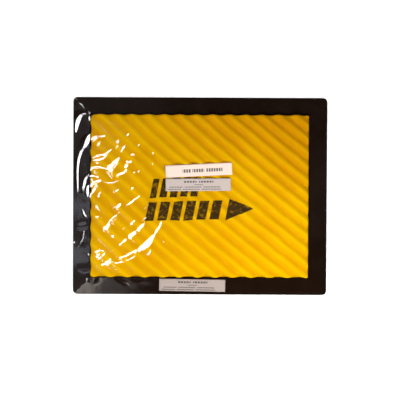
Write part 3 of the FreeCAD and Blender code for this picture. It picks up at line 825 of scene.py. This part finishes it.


# AMBER and DARK_GREEN, the foams' darker colours, carry oil and painted shade: in the valleys partly
# each, towards the top right painted shade.
YELLOW = (0.90, 0.535, 0.0, 1)
AMBER = (0.71, 0.32, 0.0, 1)
GREEN = (0.10, 0.2, 0.08, 1)
DARK_GREEN = (0.06, 0.14, 0.05, 1)
set_materials(coarse_pad, foam_material("oiled_coarse_foam", YELLOW, AMBER, 900.0, ink_graphic))
set_materials(fine_pad, foam_material("fine_foam", GREEN, DARK_GREEN, 1600.0))
film = film_material()
for piece in (top_film, bottom_film):
    set_materials(piece, film)
PINK_WHITE = (0.96, 0.75, 0.62, 1)
GREY_WHITE = (0.57, 0.47, 0.42, 1)
# The rim's label is the same stock paper as the one on the wrap, painted darker: painted shade where it
# lies on the rim under the film.
STOCK_GREY_PAINTED_SHADE = (0.46, 0.38, 0.335, 1)
NOTICE_BARS = ((-19, -2.4, -9.5, 1.6, 0.34), (-7.5, -2.4, 6.5, 1.6, 0.34), (9, -2.4, 28, 1.6, 0.34))
STOCK_BARS = (
    (-17, 2.4, -2, 4.6, 0.30),
    (1, 2.4, 18, 4.6, 0.30),
    (-5, -0.4, 6, 0.5, 0.5),
    (-34, -3.3, -18, -2.1, 0.55),
    (-16, -3.3, 4, -2.1, 0.55),
    (6, -3.3, 26, -2.1, 0.55),
    (-36, -5.9, -20, -4.7, 0.55),
    (-18, -5.9, 2, -4.7, 0.55),
    (4, -5.9, 27, -4.7, 0.55),
)
set_materials(notice, paper_material("notice_paper", PINK_WHITE, NOTICE_BARS))
set_materials(wrap_stock, paper_material("stock_paper", GREY_WHITE, STOCK_BARS))
# The same stock paper, in its painted-shade colour.
set_materials(rim_stock, paper_material("rim_stock_paper", STOCK_GREY_PAINTED_SHADE, STOCK_BARS))


def paint(name, mat):
    for place in nodes[name].material_slots:
        place.material = mat


paint("seal_rim", rim_material())
steel = steel_material()
for name in ("grid_border_wire", "grid_long_wires", "grid_cross_wires"):
    paint(name, steel)
paint("wrap_weld_fin", film)

# ---------------------------------------------------------------- each piece on the root body, in place of its CAD node

for piece, node_name, slot in (
    (coarse_pad, "coarse_foam", "coarse_foam"),
    (fine_pad, "fine_foam", "fine_foam"),
    (top_film, "wrap_top_film", "wrap_film"),
    (bottom_film, "wrap_bottom_film", "wrap_film"),
    (notice, "notice_label", "notice_paper"),
    (wrap_stock, "wrap_stock_label", "stock_paper"),
    (rim_stock, "rim_stock_label", "stock_paper"),
):
    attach(piece, "root")
    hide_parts(node_name)

# ---------------------------------------------------------------- floor, light, camera

bpy.ops.mesh.primitive_plane_add(size=6, location=(0, 0, 0))
floor = bpy.context.object
floor.name = "floor"
floor_mat = material("pale_floor")
pale = {"Base Color": (0.96, 0.96, 0.96, 1), "Roughness": 0.9}
floor_shader = node(floor_mat.node_tree, "ShaderNodeBsdfPrincipled", pale)
floor_shader.inputs["Emission Color"].default_value = (1, 1, 1, 1)
floor_shader.inputs["Emission Strength"].default_value = 0.8
set_materials(floor, finish_material(floor_mat, floor_shader.outputs[0]))

world = bpy.data.worlds.new("studio")
bpy.context.scene.world = world
world.use_nodes = True
background = world.node_tree.nodes["Background"]
background.inputs["Color"].default_value = (1, 1, 1, 1)
background.inputs["Strength"].default_value = 0.008


def area_light(
    name, off_axis, azimuth, distance, size_out, size_round, radiance, only, tint=(1, 1, 1)
):
    """A soft panel that faces the filter, off_axis degrees from straight above and azimuth degrees
    round from +X. size_out is its size along that tilt and size_round its size across it.
    radiance is how bright it looks, where a lit sheet of white paper is about 1. only="gloss" is a
    panel that shiny surfaces alone show, and only="fill" one that they don't show."""
    tilt, turn = math.radians(off_axis), math.radians(azimuth)
    data = bpy.data.lights.new(name, "AREA")
    data.shape = "RECTANGLE"
    data.size, data.size_y = size_out, size_round
    data.energy = radiance * math.pi * size_out * size_round
    data.color = tint
    lamp = bpy.data.objects.new(name, data)
    bpy.context.scene.collection.objects.link(lamp)
    lamp.rotation_euler = (0, tilt, turn)
    lamp.location = (
        distance * math.sin(tilt) * math.cos(turn),
        distance * math.sin(tilt) * math.sin(turn),
        distance * math.cos(tilt),
    )
    lamp.visible_diffuse = only != "gloss"
    lamp.visible_glossy = only != "fill"
    lamp.visible_camera = False


WHITE = (1, 1, 1)
BLUISH = (0.82, 0.86, 1.0)
PALE_BLUE = (0.9, 0.93, 1.0)
OFF_WHITE = (1.0, 0.99, 0.97)
CREAM = (1.0, 0.95, 0.9)
PEACH = (1.0, 0.9, 0.8)

# The far panels whose bright images the folds show.
area_light("key", 27.5, 147, 1.3, 0.31, 0.95, 12, "gloss")
area_light("key_top", 21.5, 108, 1.3, 0.27, 0.65, 12, "gloss")
area_light("key_left", 28, 195, 1.3, 0.30, 0.90, 12, "gloss")

# Near panels whose dim images lie along the film's sloping borders. Each is five panels, one inside
# the other, so that its image fades out to its edges. The columns are those of area_light.
HAZES = (
    ("haze_left", 45, 188, 0.65, 0.26, 0.40, 0.12, PALE_BLUE),
    ("haze_bottom", 45, 246, 0.66, 0.24, 0.21, 0.34, OFF_WHITE),
    ("haze_corner", 50.7, 244, 0.529, 0.20, 0.066, 1.5, PEACH),
    ("haze_middle", 53.3, 184, 0.377, 0.10, 0.024, 0.68, BLUISH),
    ("haze_lower", 52.8, 194.4, 0.4355, 0.10, 0.022, 0.95, BLUISH),
    ("haze_right", 51, 0, 0.53, 0.12, 0.12, 0.03, WHITE),
    ("haze_top", 51, 117, 0.428, 0.20, 0.20, 0.05, CREAM),
)
for spread in (0.2, 0.4, 0.6, 0.8, 1.0):
    for name, off_axis, azimuth, distance, size_out, size_round, radiance, tint in HAZES:
        out, round_it = size_out * spread, size_round * spread
        area_light(name, off_axis, azimuth, distance, out, round_it, radiance, "gloss", tint)

# What lights the foam, the labels and the rim themselves.
area_light("near_fill", 32, 296, 0.53, 0.22, 0.22, 19, "fill")
area_light("right_fill", 52, 45, 1.3, 0.6, 1.2, 1.3, "fill")
area_light("left_fill", 50, 170, 1.1, 0.6, 1.0, 1.7, "fill")

CAMERA_DISTANCE = 2.0
FIELD = 0.4732
CAMERA_TILT = math.radians(1.48)
CAMERA_ROLL = math.radians(0.29)
LOOK_AT = (-0.0002, -0.0045, RIM_TOP)

camera_data = bpy.data.cameras.new("camera")
camera_data.sensor_width = 36
camera_data.lens = 36 * CAMERA_DISTANCE / FIELD
camera = bpy.data.objects.new("camera", camera_data)
bpy.context.scene.collection.objects.link(camera)
camera.location = (
    LOOK_AT[0],
    LOOK_AT[1] + CAMERA_DISTANCE * math.sin(CAMERA_TILT),
    LOOK_AT[2] + CAMERA_DISTANCE * math.cos(CAMERA_TILT),
)
camera.rotation_euler = (-CAMERA_TILT, 0, CAMERA_ROLL)
bpy.context.scene.camera = camera
bpy.context.scene.view_settings.view_transform = "Standard"
